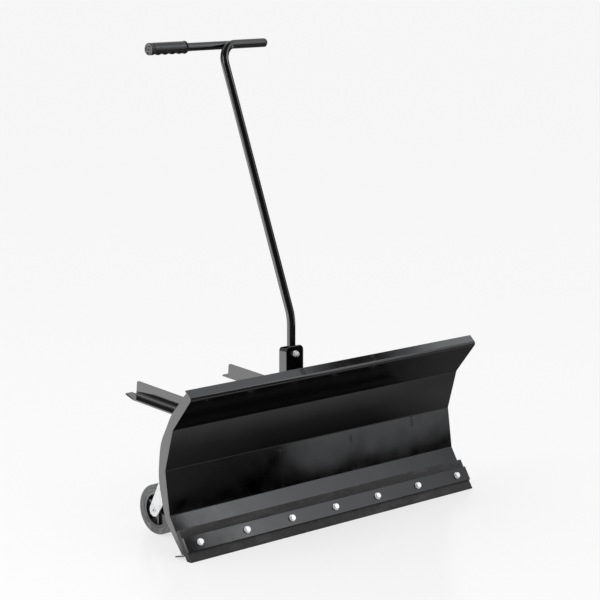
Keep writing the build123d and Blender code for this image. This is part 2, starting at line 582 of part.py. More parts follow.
def build_lever():
    """Bent lever tube with its bush, cross bar, plug and grip."""
    foot = (0, LEVER_KNEE[1], LEVER_PIVOT_Z - LEVER_TAIL)
    end = (LEVER_END_X - TUBE_R, LEVER_TOP[1], LEVER_TOP[2])
    path = Wire(rounded_path([foot, LEVER_KNEE, LEVER_TOP, end], [KNEE_R, TOP_BEND_R]))
    section = Plane(origin=foot, z_dir=(0, 0, 1))
    tube = sweep(section * (Circle(TUBE_R) - Circle(TUBE_R - TUBE_T)), path=path)
    dome = Pos(*end) * Sphere(TUBE_R)
    tube += dome & box(end[0], end[0] + 50, 0, 900, 0, 1500)
    tube -= rod(6.5, (0, 100, LEVER_PIVOT_Z), (0, 250, LEVER_PIVOT_Z))
    save("lever_tube", tube)
    half = (SOCKET_Y1 - SOCKET_Y0) / 2 - SOCKET_T - 0.2
    save("lever_bush", pipe(6.5, LEVER_BOLT_R + RUN_GAP,
                            (0, LEVER_KNEE[1] - half, LEVER_PIVOT_Z),
                            (0, LEVER_KNEE[1] + half, LEVER_PIVOT_Z)))
    bar = pipe(TUBE_R, TUBE_R - TUBE_T, (BAR_LEFT, BAR_Y, BAR_Z), (BAR_RIGHT, BAR_Y, BAR_Z))
    save("cross_bar", bar - tube)
    plug = rod(TUBE_R - TUBE_T, (BAR_RIGHT - 12, BAR_Y, BAR_Z), (BAR_RIGHT, BAR_Y, BAR_Z))
    plug += fillet(rod(TUBE_R, (BAR_RIGHT, BAR_Y, BAR_Z),
                       (BAR_RIGHT + 4, BAR_Y, BAR_Z)).edges().sort_by(Axis.X)[-1:], 2.5)
    save("bar_plug", plug)
    save("grip", grip_solid())


def grip_solid():
    """Moulded grip with an end flange and finger grooves underneath."""
    left = BAR_LEFT - 4
    at = lambda x: (x, BAR_Y, BAR_Z)
    grip = rod(GRIP_R, at(left), at(left + GRIP_L))
    for i in range(4):
        x = left + 26 + i * 25
        grip -= rod(16, (x, BAR_Y - 40, BAR_Z - GRIP_R - 13.6),
                    (x, BAR_Y + 40, BAR_Z - GRIP_R - 13.6))
    grip += fillet(rod(GRIP_END_R, at(left), at(left + 6)).edges(), 1.5)
    grip += fillet(rod(GRIP_END_R + 1, at(left + GRIP_L - 5), at(left + GRIP_L)).edges(), 1.5)
    return grip - rod(TUBE_R, at(BAR_LEFT), at(left + GRIP_L + 10))


build_blade()
build_pivot()
build_castor_arms()
build_castor()
build_wheel()
build_push_frame()
build_carriage()
build_lever()
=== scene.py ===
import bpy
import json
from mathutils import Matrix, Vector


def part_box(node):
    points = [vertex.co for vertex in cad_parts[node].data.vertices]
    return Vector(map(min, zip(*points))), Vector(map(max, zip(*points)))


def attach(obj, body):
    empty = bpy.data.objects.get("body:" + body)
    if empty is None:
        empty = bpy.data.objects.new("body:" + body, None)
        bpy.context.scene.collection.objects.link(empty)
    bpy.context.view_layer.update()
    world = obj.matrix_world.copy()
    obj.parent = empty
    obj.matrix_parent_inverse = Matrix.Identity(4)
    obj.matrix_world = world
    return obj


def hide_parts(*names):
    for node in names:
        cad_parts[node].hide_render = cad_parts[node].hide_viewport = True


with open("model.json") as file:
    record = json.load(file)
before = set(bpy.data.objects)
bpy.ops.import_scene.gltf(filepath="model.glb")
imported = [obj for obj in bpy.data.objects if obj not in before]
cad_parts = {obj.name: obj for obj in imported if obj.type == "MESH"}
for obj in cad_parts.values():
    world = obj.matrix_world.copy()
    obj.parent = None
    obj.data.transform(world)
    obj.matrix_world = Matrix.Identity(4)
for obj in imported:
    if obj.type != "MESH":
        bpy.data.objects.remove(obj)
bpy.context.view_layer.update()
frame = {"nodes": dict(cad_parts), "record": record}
import json
import math

import bmesh
import bpy
import numpy as np
from mathutils import Vector
from mathutils.bvhtree import BVHTree

NODES = frame["nodes"]
SKY, COOL = 1.04, (0.95, 0.97, 1.0)
# How brightly gloss paint sees the floor, a painted reflection glow: painted shade in the blade's
# shade, then near it and in the open; painted bright patches behind on the left, far away on the
# left and far in front.
FLOOR_SHADE, FLOOR_NEAR, FLOOR_OPEN = 0.034, 0.13, 0.49
FLOOR_LEFT, FLOOR_RAY, FLOOR_FRONT = 3.6, 3.0, 0.8
FLOOR_LIFT, FLOOR_HALF, FLOOR_SKIN = 0.70, 60.0, 0.003
STITCH, STITCH_HEIGHTS = 0.026, (0.075, 0.135, 0.205, 0.275, 0.345, 0.405)
WELD_PITCH, WELD_STEP, WELD_LIFT = 0.0032, 0.0006, 0.0006
BEHIND = 0.35                        # Y from which lines look forward at the blade's back


# ---------------------------------------------------------------- materials
class Shader:
    """Small wrapper that builds one procedural material."""

    def __init__(self, name):
        self.material = bpy.data.materials.new(name)
        self.material.use_nodes = True
        self.tree = self.material.node_tree
        self.surface = self.tree.nodes["Principled BSDF"]
        self.where = self.add("ShaderNodeTexCoord").outputs["Object"]

    def add(self, kind, **settings):
        node = self.tree.nodes.new(kind)
        for key, value in settings.items():
            setattr(node, key, value)
        return node

    def link(self, output, target):
        self.tree.links.new(output, target)

    def put(self, name, value):
        """Set an input of the surface to a number, a colour or another node's output."""
        self.fill(self.surface.inputs[name], value)

    def fill(self, socket, value):
        if isinstance(value, bpy.types.NodeSocket):
            self.link(value, socket)
        elif isinstance(value, tuple) and len(value) == 3 and socket.type == "RGBA":
            socket.default_value = (*value, 1)
        else:
            socket.default_value = value

    def noise(self, scale, detail=4.0, rough=0.5, stretch=None):
        """Noise with features of 1/scale metres, 0 to 1."""
        node = self.add("ShaderNodeTexNoise")
        node.inputs["Scale"].default_value = scale
        node.inputs["Detail"].default_value = detail
        node.inputs["Roughness"].default_value = rough
        where = self.where
        if stretch:
            mapping = self.add("ShaderNodeMapping")
            mapping.inputs["Scale"].default_value = stretch
            self.link(self.where, mapping.inputs["Vector"])
            where = mapping.outputs["Vector"]
        self.link(where, node.inputs["Vector"])
        return node.outputs["Fac"]

    def cells(self, scale):
        """Distance to the nearest cell centre, for grains and pits."""
        node = self.add("ShaderNodeTexVoronoi")
        node.inputs["Scale"].default_value = scale
        self.link(self.where, node.inputs["Vector"])
        return node.outputs["Distance"]

    def remap(self, value, low, high, to_low=0.0, to_high=1.0):
        node = self.add("ShaderNodeMapRange")
        for i, number in enumerate((low, high, to_low, to_high), 1):
            self.fill(node.inputs[i], number)
        self.link(value, node.inputs[0])
        return node.outputs[0]

    def zone(self, *ramps):
        """Product of ramps, each given as remap's arguments."""
        value = self.remap(*ramps[0])
        for ramp in ramps[1:]:
            value = self.math("MULTIPLY", value, self.remap(*ramp))
        return value

    def math(self, operation, a, b=0.0):
        node = self.add("ShaderNodeMath", operation=operation)
        self.fill(node.inputs[0], a)
        self.fill(node.inputs[1], b)
        return node.outputs[0]

    def mix(self, amount, a, b):
        """Blend of two colours."""
        node = self.add("ShaderNodeMix", data_type="RGBA")
        self.fill(node.inputs[0], amount)
        self.fill(node.inputs[6], a)
        self.fill(node.inputs[7], b)
        return node.outputs[2]

    def up(self):
        """How far the surface faces upwards, 0 to 1."""
        geometry = self.add("ShaderNodeNewGeometry")
        split = self.add("ShaderNodeSeparateXYZ")
        self.link(geometry.outputs["Normal"], split.inputs[0])
        return self.math("MAXIMUM", split.outputs[2], 0.0)

    def ray_start_height(self):
        """Height of the point that the light ray came from."""
        geometry = self.add("ShaderNodeNewGeometry")
        heights = []
        for output in ("Position", "Incoming"):
            split = self.add("ShaderNodeSeparateXYZ")
            self.link(geometry.outputs[output], split.inputs[0])
            heights.append(split.outputs[2])
        length = self.add("ShaderNodeLightPath").outputs["Ray Length"]
        return self.math("ADD", heights[0], self.math("MULTIPLY", heights[1], length))

    def edges(self, radius):
        """Close to 1 along sharp edges, by comparing rounded and true normals."""
        bevel = self.add("ShaderNodeBevel", samples=4)
        bevel.inputs["Radius"].default_value = radius
        geometry = self.add("ShaderNodeNewGeometry")
        dot = self.add("ShaderNodeVectorMath", operation="DOT_PRODUCT")
        self.link(bevel.outputs[0], dot.inputs[0])
        self.link(geometry.outputs["Normal"], dot.inputs[1])
        return self.remap(dot.outputs["Value"], 0.995, 0.85)

    def bump(self, *layers, round_edges=0.0):
        """Stack height maps: each layer is (height output, distance in metres)."""
        normal = None
        if round_edges:
            bevel = self.add("ShaderNodeBevel", samples=4)
            bevel.inputs["Radius"].default_value = round_edges
            normal = bevel.outputs[0]
        for height, distance in layers:
            node = self.add("ShaderNodeBump")
            node.inputs["Distance"].default_value = distance
            self.link(height, node.inputs["Height"])
            if normal:
                self.link(normal, node.inputs["Normal"])
            normal = node.outputs["Normal"]
        self.put("Normal", normal)


def powder_coat(name, shade=0.0012, rough=0.085):
    """Gloss black powder coat: orange peel, faint dust on top, rubbed edges."""
    s = Shader(name)
    cloud = s.noise(9, 5)
    dust = s.math("MULTIPLY", s.up(), s.remap(s.noise(40, 6, 0.65), 0.5, 0.85))
    worn = s.math("MULTIPLY", s.edges(0.0009), s.remap(s.noise(60, 4), 0.5, 0.72))
    paint = s.mix(s.remap(cloud, 0.3, 0.7), (shade, shade, shade * 1.05),
                  (shade * 1.5, shade * 1.5, shade * 1.6))
    paint = s.mix(s.math("MULTIPLY", dust, 0.006), paint, (0.3, 0.29, 0.27))
    s.put("Base Color", s.mix(s.math("MULTIPLY", worn, 0.2), paint, (0.10, 0.10, 0.105)))
    uneven = s.remap(s.noise(22, 5, 0.6), 0.3, 0.7, rough - 0.015, rough + 0.03)
    s.put("Roughness", s.math("ADD", uneven, s.math("MULTIPLY", dust, 0.05)))
    s.put("IOR", 1.5)
    s.bump((s.noise(8, 1), 0.0007), (s.noise(420, 2), 0.000012), (s.noise(1900, 1), 0.000004),
           round_edges=0.0009)
    return s.material


def zinc_plate(name):
    """Bright zinc plating: brushed and slightly mottled, with a pale bloom."""
    s = Shader(name)
    spangle = s.remap(s.noise(160, 4), 0.35, 0.7)
    s.put("Base Color", s.mix(spangle, (0.82, 0.83, 0.84), (0.95, 0.955, 0.96)))
    s.put("Metallic", s.remap(spangle, 0.0, 1.0, 0.36, 0.52))
    streak = s.noise(120, 3, stretch=(1, 1, 12))
    s.put("Roughness", s.remap(streak, 0.3, 0.7, 0.16, 0.30))
    s.bump((s.noise(900, 3), 0.00003), (streak, 0.00002))
    return s.material


def zinc_sheet(name):
    """Dull galvanised finish of the castor forks and their rivets."""
    s = Shader(name)
    spangle = s.remap(s.cells(110), 0.1, 0.6)
    mottle = s.remap(s.noise(45, 5, 0.6), 0.35, 0.7)
    plate = s.mix(spangle, (0.50, 0.505, 0.51), (0.56, 0.565, 0.57))
    s.put("Base Color", s.mix(s.math("MULTIPLY", mottle, 0.6), plate, (0.44, 0.445, 0.45)))
    s.put("Metallic", 0.16)
    s.put("Roughness", s.remap(s.noise(90, 4), 0.3, 0.7, 0.34, 0.5))
    s.bump((s.noise(600, 3), 0.00003), (spangle, 0.00001), round_edges=0.0007)
    return s.material


def strip_rubber(name):
    """Matt black rubber with a moulded grain and grey scuffs."""
    s = Shader(name)
    scuff = s.remap(s.noise(26, 6, 0.7, stretch=(0.4, 2, 2)), 0.5, 0.75)
    s.put("Base Color", s.mix(scuff, (0.020, 0.020, 0.021), (0.05, 0.049, 0.047)))
    s.put("Roughness", s.remap(s.noise(70, 5), 0.3, 0.7, 0.62, 0.8))
    s.bump((s.noise(420, 4, 0.6), 0.00022), (s.cells(1500), 0.00005))
    return s.material


def tyre_rubber(name):
    """Grey-black solid tyre with road dust on the tread."""
    s = Shader(name)
    dust = s.remap(s.noise(70, 6, 0.65), 0.42, 0.75)
    s.put("Base Color", s.mix(dust, (0.075, 0.075, 0.077), (0.150, 0.148, 0.145)))
    s.put("Roughness", s.remap(s.noise(120, 4), 0.3, 0.7, 0.5, 0.74))
    s.bump((s.noise(260, 4, 0.6), 0.0003), (s.noise(1100, 2), 0.0001))
    return s.material


def moulded_plastic(name):
    """Satin black moulded plastic with a fine spark-eroded grain."""
    s = Shader(name)
    s.put("Base Color", s.mix(s.remap(s.noise(50, 4), 0.35, 0.7), (0.004, 0.004, 0.0045),
                              (0.010, 0.010, 0.011)))
    s.put("Roughness", s.remap(s.noise(180, 4), 0.3, 0.7, 0.18, 0.27))
    s.bump((s.cells(2600), 0.00003), (s.noise(300, 3), 0.00003))
    return s.material


def bushing_metal(name):
    """Sintered bronze with oil-dark pores."""
    s = Shader(name)
    pores = s.remap(s.cells(2200), 0.1, 0.35)
    s.put("Base Color", s.mix(pores, (0.16, 0.10, 0.05), (0.58, 0.42, 0.22)))
    s.put("Metallic", 1.0)
    s.put("Roughness", s.remap(s.noise(300, 3), 0.3, 0.7, 0.38, 0.55))
    s.bump((pores, 0.00003))
    return s.material


def weld_metal(name):
    """Painted-over weld bead."""
    s = Shader(name)
    s.put("Base Color", s.mix(s.remap(s.noise(200, 4), 0.4, 0.7), (0.003, 0.003, 0.003),
                              (0.008, 0.008, 0.008)))
    s.put("Roughness", s.remap(s.noise(300, 3), 0.3, 0.7, 0.16, 0.28))
    s.bump((s.noise(700, 3), 0.00012))
    return s.material


def pale_floor(name):
    """Smooth pale floor; gloss paint sees a painted reflection glow instead, with painted shade
    near the blade and painted bright patches, fading towards the dark studio in front.
    """
    s = Shader(name)
    s.put("Base Color", s.mix(s.remap(s.noise(0.6, 3), 0.3, 0.7), (0.895, 0.893, 0.895),
                              (0.905, 0.903, 0.905)))
    s.put("Roughness", 0.2)
    s.put("IOR", 1.4)
    split = s.add("ShaderNodeSeparateXYZ")
    s.link(s.where, split.inputs[0])
    x, y = split.outputs[0], split.outputs[1]
    slant = s.math("DIVIDE", y, s.math("MULTIPLY", x, -1.0))
    # Painted shade in the reflection glow: darkest next to the blade, brighter in the open, fading
    # far in front.
    near = s.math("ADD", s.remap(y, -0.16, -0.09, FLOOR_NEAR, FLOOR_SHADE),
                  s.remap(y, -0.24, -0.155, FLOOR_OPEN, 0.0))
    strength = s.math("MULTIPLY", near, s.remap(y, -1.2, -0.7, 0.1, 1.0))
    # Painted bright patches in the reflection glow: a faint rise to the left, one right of the
    # blade, one behind on the left, a slanted band far to the left and one far in front.
    for patch in (s.remap(x, 0.1, -0.3, 0.0, 0.12),
                  s.zone((x, 0.5, 0.8, 0.0, 0.27), (y, -0.21, -0.15, -0.5, 1.0),
                         (y, -0.1, 0.0, 1.0, 0.35)),
                  s.zone((y, -0.05, 0.2), (x, -0.3, -0.62, 0.0, FLOOR_LEFT)),
                  s.zone((slant, 0.42, 0.52), (slant, 0.78, 0.68),
                         (x, -2.5, -3.5, 0.0, FLOOR_RAY)),
                  s.zone((x, 4.0, 4.3, 0.0, FLOOR_FRONT), (x, 6.0, 5.5), (y, -3.4, -3.8),
                         (y, -6.0, -5.4))):
        strength = s.math("ADD", strength, patch)
    # Gloss rays see this painted reflection glow instead of the floor itself.
    painted_reflection = s.add("ShaderNodeEmission")
    s.fill(painted_reflection.inputs["Strength"], strength)
    paths = s.add("ShaderNodeLightPath")
    swap = s.add("ShaderNodeMixShader")
    s.link(paths.outputs["Is Glossy Ray"], swap.inputs[0])
    glow = s.add("ShaderNodeEmission")
    s.fill(glow.inputs["Color"], (0.955, 0.953, 0.955))
    lift = s.add("ShaderNodeMixShader")
    lift.inputs[0].default_value = FLOOR_LIFT
    s.link(s.surface.outputs[0], lift.inputs[1])
    s.link(glow.outputs[0], lift.inputs[2])
    s.link(lift.outputs[0], swap.inputs[1])
    s.link(painted_reflection.outputs[0], swap.inputs[2])
    s.link(swap.outputs[0], s.tree.nodes["Material Output"].inputs["Surface"])
    return s.material


LOOKS = {
    "powder_black": powder_coat("powder_black"),
    "zinc": zinc_plate("zinc"),
    "zinc_sheet": zinc_sheet("zinc_sheet"),
    "rubber_strip": strip_rubber("rubber_strip"),
    "tyre": tyre_rubber("tyre"),
    "plastic_black": moulded_plastic("plastic_black"),
    "bushing": bushing_metal("bushing"),
    "weld": weld_metal("weld"),
}
OWN_LOOK = {part + hand: "zinc_sheet" for part in ("castor_fork_", "castor_axle_")
            for hand in ("left", "right")}
TREES = {}


def dress_nodes():
    """Give every CAD node the look of its material slot, or its own."""
    for part in frame["record"]["subparts"]:
        node = NODES[part["node"]]
        node.data.materials.clear()
        node.data.materials.append(LOOKS[OWN_LOOK.get(part["node"], part["material_slot"])])


# ---------------------------------------------------------------- shapes
def array(node):
    """A CAD node's points, in metres."""
    return np.array([v.co[:] for v in NODES[node].data.vertices])


def middle(node):
    low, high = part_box(node)
    return (Vector(low) + Vector(high)) / 2


def clusters(node, gap=0.02):
    """Points of a grouped node, split where there is a gap along X."""
    points = array(node)
    points = points[np.argsort(points[:, 0])]
    cuts = np.where(np.diff(points[:, 0]) > gap)[0] + 1
    return np.split(points, cuts)


def joint_place(name):
    for joint in frame["record"]["behaviour"]["joints"]:
        if joint["name"] == name:
            return Vector(joint["pos_m"])


def surface(node, start, direction):
    """Where a straight line from start first meets a CAD node."""
    if node not in TREES:
        mesh = NODES[node].data
        TREES[node] = BVHTree.FromPolygons([v.co[:] for v in mesh.vertices],
                                           [f.vertices[:] for f in mesh.polygons])
    return TREES[node].ray_cast(Vector(start), Vector(direction))[0]


def grid_mesh(name, points, join_ends=False):
    """Closed mesh from rings of points: the ends are capped, or joined to each other."""
    rows, ring = len(points), len(points[0])
    verts = [tuple(p) for row in points for p in row]
    faces = []
    for i in range(rows if join_ends else rows - 1):
        here, after = i * ring, (i + 1) % rows * ring
        for j in range(ring):
            k = (j + 1) % ring
            faces.append((here + j, here + k, after + k, after + j))
    if not join_ends:
        faces.append(tuple(reversed(range(ring))))
        faces.append(tuple(range((rows - 1) * ring, rows * ring)))
    mesh = bpy.data.meshes.new(name)
    mesh.from_pydata(verts, [], faces)
    mesh.validate()
    shell = bmesh.new()
    shell.from_mesh(mesh)
    bmesh.ops.recalc_face_normals(shell, faces=shell.faces)
    shell.to_mesh(mesh)
    shell.free()
    for face in mesh.polygons:
        face.use_smooth = True
    return mesh


def add_piece(name, mesh, look, body, *replaced):
    piece = bpy.data.objects.new(name, mesh)
    bpy.context.scene.collection.objects.link(piece)
    mesh.materials.append(LOOKS[look])
    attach(piece, body)
    if replaced:
        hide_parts(*replaced)
    return piece


def sweep_rings(path, radius_at, ring=10):
    """Rings of points round a path of Vectors."""
    rows = []
    side = None
    for i, point in enumerate(path):
        along = (path[min(i + 1, len(path) - 1)] - path[max(i - 1, 0)]).normalized()
        if side is None:
            side = along.orthogonal().normalized()
        side = (side - along * side.dot(along)).normalized()
        up = along.cross(side)
        r = radius_at(i, len(path))
        rows.append([point + (side * math.cos(a) + up * math.sin(a)) * r
                     for a in (2 * math.pi * j / ring for j in range(ring))])
    return rows


def resample(points, step):
    """Points spaced evenly along a polyline."""
    result, left = [points[0]], step
    for a, b in zip(points, points[1:]):
        length = (b - a).length
        while left <= length:
            result.append(a.lerp(b, left / length))
            left += step
        left -= length
    return result + [points[-1]]


def bead(name, points, radius, body):
    """Weld bead with overlapping ripples along a polyline of points."""
    path = resample([Vector(p) for p in points], WELD_STEP)
    phase = sum(ord(c) for c in name)

    def radius_at(i, count):
        ripple = abs(math.sin(math.pi * i * WELD_STEP / WELD_PITCH + phase))
        wander = 0.06 * math.sin(i * 0.021 + phase) + 0.05 * math.sin(i * 0.057)
        end = min(1.0, 0.45 + min(i, count - 1 - i) * WELD_STEP / radius * 0.4)
        return radius * (0.8 + 0.2 * ripple + wander) * end

    mesh = grid_mesh(name, sweep_rings(path, radius_at))
    return add_piece(name, mesh, "weld", body)


def arc(centre, radius, axis, start=0.0, turn=360.0, steps=48):
    """Points round a circle about the X or Z axis."""
    points = []
    for i in range(steps + 1):
        a = math.radians(start + turn * i / steps)
        c, d = radius * math.cos(a), radius * math.sin(a)
        points.append(centre + (Vector((0, c, d)) if axis == "X" else Vector((c, d, 0))))
    return points


# ---------------------------------------------------------------- weld beads
def x_faces(node):
    """X of the faces of a mirrored plate pair, positive side, inner then outer."""
    xs = array(node)[:, 0]
    return float(xs[xs > 0].min()), float(xs.max())


def look_forward(node, places):
    """Points just behind the back of a node, one for each (x, z) that hits it."""
    found = [surface(node, (x, BEHIND, z), (0, -1, 0)) for x, z in places]
    return [at + Vector((0, WELD_LIFT, 0)) for at in found if at]


def weld_ribs():
    """Stitch welds up both sides of every stiffener, and inside the end plates."""
    for node, name in (("inner_ribs", "rib_inner"), ("outer_ribs", "rib_outer"),
                       ("end_plate_right", "end_plate")):
        inner, outer = x_faces(node)
        faces = [(inner, -1, "in")] + ([(outer, 1, "out")] if name != "end_plate" else [])
        for face, away, tag in faces:
            for side, hand in ((-1, "left"), (1, "right")):
                for k, height in enumerate(STITCH_HEIGHTS):
                    x = side * (face + away * WELD_LIFT)
                    z = height + (0.012 if away > 0 else 0.0)
                    path = look_forward("moldboard",
                                        [(x, z + STITCH / 8 * (i - 4)) for i in range(9)])
                    if len(path) > 4:
                        bead(f"weld_{name}_{hand}_{tag}_{k}", path, 0.0021, "blade")


def weld_along_x(name, x0, x1, z, radius=0.0024):
    """Bead where a level plate meets the back of the moldboard."""
    path = look_forward("moldboard", [(x0 + (x1 - x0) * i / 24, z) for i in range(25)])
    if len(path) > 3:
        bead(name, path, radius, "blade")


def weld_blade():
    weld_ribs()
    for node in ("pivot_plate_upper", "pivot_plate_lower"):
        low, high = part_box(node)
        for k, x in enumerate((-0.085, -0.03, 0.03, 0.085)):
            for tag, z in (("top", high[2] + WELD_LIFT), ("under", low[2] - WELD_LIFT)):
                weld_along_x(f"weld_{node}_{tag}_{k}", x - 0.016, x + 0.016, z)
    for points, hand in zip(clusters("castor_arms"), ("left", "right")):
        x0, x1, top = points[:, 0].min(), points[:, 0].max(), points[:, 2].max()
        weld_along_x("weld_castor_arm_" + hand, x0 + 0.002, x1 - 0.002, top + WELD_LIFT)
    for points, hand in zip(clusters("castor_gussets", 0.1), ("left", "right")):
        x, y0, y1 = points[:, 0].max(), points[:, 1].min(), points[:, 1].max()
        x, z = x + WELD_LIFT, points[:, 2].min() + WELD_LIFT
        bead("weld_gusset_" + hand, [(x, y0 + 0.02, z), (x, y1 - 0.004, z)], 0.002, "blade")


def weld_crest():
    """Sunken beads that close the slots round the ribs' tabs in the top flange."""
    inner, outer = x_faces("inner_ribs")
    tab_x, tab_half = (outer + inner) / 2, (outer - inner) / 2
    crest = max(array("moldboard"), key=lambda point: point[2])
    beside = tab_x + 0.04
    high, low = [surface("moldboard", (beside, crest[1] - back, 1.0), (0, 0, -1))
                 for back in (0.003, 0.009)]
    up = (high - low).normalized()
    inward = Vector((0, up.z, -up.y))
    top = Vector((0, crest[1], crest[2]))
    middle_down, half_long, half_wide, sunk = 0.012, 0.0071, tab_half + 0.0016, 0.0027
    for side, hand in ((-1, "left"), (1, "right")):
        centre = top - up * middle_down + inward * sunk + Vector((side * tab_x, 0, 0))
        loop = [centre + Vector((a * half_wide, 0, 0)) + up * (b * half_long)
                for a, b in ((-1, 0), (-1, 1), (1, 1), (1, -1), (-1, -1), (-1, 0))]
        bead("weld_crest_" + hand, loop, 0.0023, "blade")


def weld_carriage():
    low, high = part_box("lever_socket")
    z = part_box("tongue_plate_upper")[1][2] + 0.0004
    x0, y0, x1, y1 = low[0], low[1], high[0], high[1]
    corner = [(x0, y1, z), (x0, y0, z), (x1, y0, z), (x1, y1, z)]
    bead("weld_socket", corner, 0.0026, "carriage")
    bead("weld_socket_back", [(x0 + 0.006, y1, z), (x1 - 0.006, y1, z)], 0.0026, "carriage")
    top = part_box("tongue_plate_lower")[1][2] + 0.0005
    side_low, side_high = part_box("carriage_side_right")
    tongue_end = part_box("tongue_plate_lower")[1][1]
    for side, hand in ((-1, "left"), (1, "right")):
        x = side * (side_low[0] - 0.0005)
        for k, y in enumerate((side_low[1] + 0.03, (side_low[1] + tongue_end) / 2,
                               tongue_end - 0.03)):
            bead(f"weld_tongue_{hand}_{k}", [(x, y - 0.012, top), (x, y + 0.012, top)], 0.0022,
                 "carriage")
        hinge = joint_place("lift")
        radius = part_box("hinge_tube")[1][2] - hinge.z
        for k, face in enumerate((side_low[0] - 0.0004, side_high[0] + 0.0004)):
            centre = Vector((side * face, hinge.y, hinge.z))
            bead(f"weld_hinge_{hand}_{k}", arc(centre, radius + 0.0003, "X", 100, 330), 0.002,
                 "carriage")


def weld_frame():
    """Cross members to the arms, on their rear faces."""
    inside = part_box("cross_bar_rear")[1][0]
    for node in ("cross_bar_rear", "cross_plate"):
        low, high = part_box(node)
        for side, hand in ((-1, "left"), (1, "right")):
            x = side * (inside - 0.0007)
            path = []
            for i in range(9):
                if node == "cross_bar_rear":
                    z = low[2] + 0.004 + (high[2] - low[2] - 0.008) * i / 8
                    at = surface(node, (x, 0.7, z), (0, -1, 0))
                    lift = Vector((0, 0.0005, 0))
                else:
                    y = low[1] + 0.003 + (high[1] - low[1] - 0.006) * i / 8
                    at = surface(node, (x, y, 0.1), (0, 0, 1))
                    lift = Vector((0, 0, -0.0005))
                if at:
                    path.append(at + lift)
            if len(path) > 3:
                bead(f"weld_{node}_{hand}", path, 0.0022, "push_frame")


def weld_lever():
    """Beads in the valleys where the cross bar touches the lever's bent end."""
    bar = middle("cross_bar")
    points = array("lever_tube")
    end = points[points[:, 0] > 0.11]
    low, high = Vector(end.min(axis=0)), Vector(end.max(axis=0))
    tube = Vector((0, (low.y + high.y) / 2, (low.z + high.z) / 2))
    tube_r, weld_r = (high.z - low.z) / 2, 0.003
    across = Vector((0, bar.y - tube.y, bar.z - tube.z))
    up = Vector((0, -across.z, across.y)).normalized()
    valley = math.sqrt((tube_r + weld_r * 0.8) ** 2 - (across.length / 2) ** 2) - weld_r * 0.4
    for side, tag in ((1, "top"), (-1, "under")):
        centre = tube + across / 2 + up * valley * side
        for k, x in enumerate((0.07, 0.125)):
            ends = [(x + half, centre.y, centre.z) for half in (-0.02, 0.02)]
            bead(f"weld_lever_{tag}_{k}", ends, weld_r, "lever")


# ---------------------------------------------------------------- threads
def thread(name, tip, axis, radius, length, pitch, look, body):
    """Helical ridge round the end of a bolt; tip is the centre of the bolt's end."""
    axis = Vector(axis).normalized()
    side = axis.orthogonal().normalized()
    up = axis.cross(side)
    turns, per_turn, depth = length / pitch, 28, pitch * 0.34
    rows = []
    for i in range(int(turns * per_turn) + 1):
        a = 2 * math.pi * i / per_turn
        out = side * math.cos(a) + up * math.sin(a)
        centre = Vector(tip) - axis * (pitch * (i / per_turn) + 0.0012)
        fade = min(1.0, i / per_turn, (turns * per_turn - i) / per_turn)
        crest = radius + depth * 0.25 * fade
        root = radius - depth
        rows.append([centre + axis * pitch * 0.36 + out * root, centre + out * crest,
                     centre - axis * pitch * 0.36 + out * root])
    add_piece(name, grid_mesh(name, rows), look, body)


def bolt_threads():
    for points, hand in zip(clusters("castor_king_bolts"), ("left", "right")):
        top = float(points[:, 2].max())
        centre = joint_place("castor_" + hand + "_swivel")
        tip_r = 0.006
        thread("thread_king_" + hand, (centre.x, centre.y, top), (0, 0, 1), tip_r, 0.006, 0.0013,
               "zinc", "blade")
    bolts, nuts = clusters("strip_bolts"), clusters("strip_nuts")
    for k, (bolt, nut) in enumerate(zip(bolts, nuts)):
        middle_nut = nut.mean(axis=0)
        head = bolt.mean(axis=0)
        axis = Vector((0, *(middle_nut - head)[1:])).normalized()
        x = float((bolt[:, 0].min() + bolt[:, 0].max()) / 2)
        reach = max(Vector((0, p[1], p[2])).dot(axis) for p in bolt)
        on_axis = Vector((x, middle_nut[1], middle_nut[2]))
        tip = on_axis + axis * (reach - Vector((0, *on_axis[1:])).dot(axis))
        thread(f"thread_strip_{k}", tip, axis, 0.004, 0.005, 0.00125, "zinc", "blade")
    pivot = middle("lever_bolt")
    thread("thread_lever", (pivot.x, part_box("lever_bolt")[0][1], joint_place("lever_rock").z),
           (0, -1, 0), 0.004, 0.0038, 0.00125, "zinc", "carriage")
    hinge = joint_place("lift")
    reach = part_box("hinge_shaft")[1][0]
    for side, hand in ((-1, "left"), (1, "right")):
        thread("thread_hinge_" + hand, (side * reach, hinge.y, hinge.z), (side, 0, 0), 0.008,
               0.0035, 0.002, "zinc", "push_frame")


# ---------------------------------------------------------------- moulded pieces
def lathe_x(name, profile, centre, ring, shape, join_ends=False):
    """Solid of revolution about X; profile holds (x, radius), shape can bend the radius."""
    rows = []
    for x, radius in profile:
        row = []
        for i in range(ring):
            a = 2 * math.pi * i / ring
            r = shape(x, radius, a)
            row.append((centre.x + x, centre.y + r * math.cos(a), centre.z + r * math.sin(a)))
        rows.append(row)
    return grid_mesh(name, rows, join_ends)


def smooth_bump(x, centre, half):
    t = abs(x - centre) / half
    return 0.0 if t >= 1 else 0.5 + 0.5 * math.cos(math.pi * t)


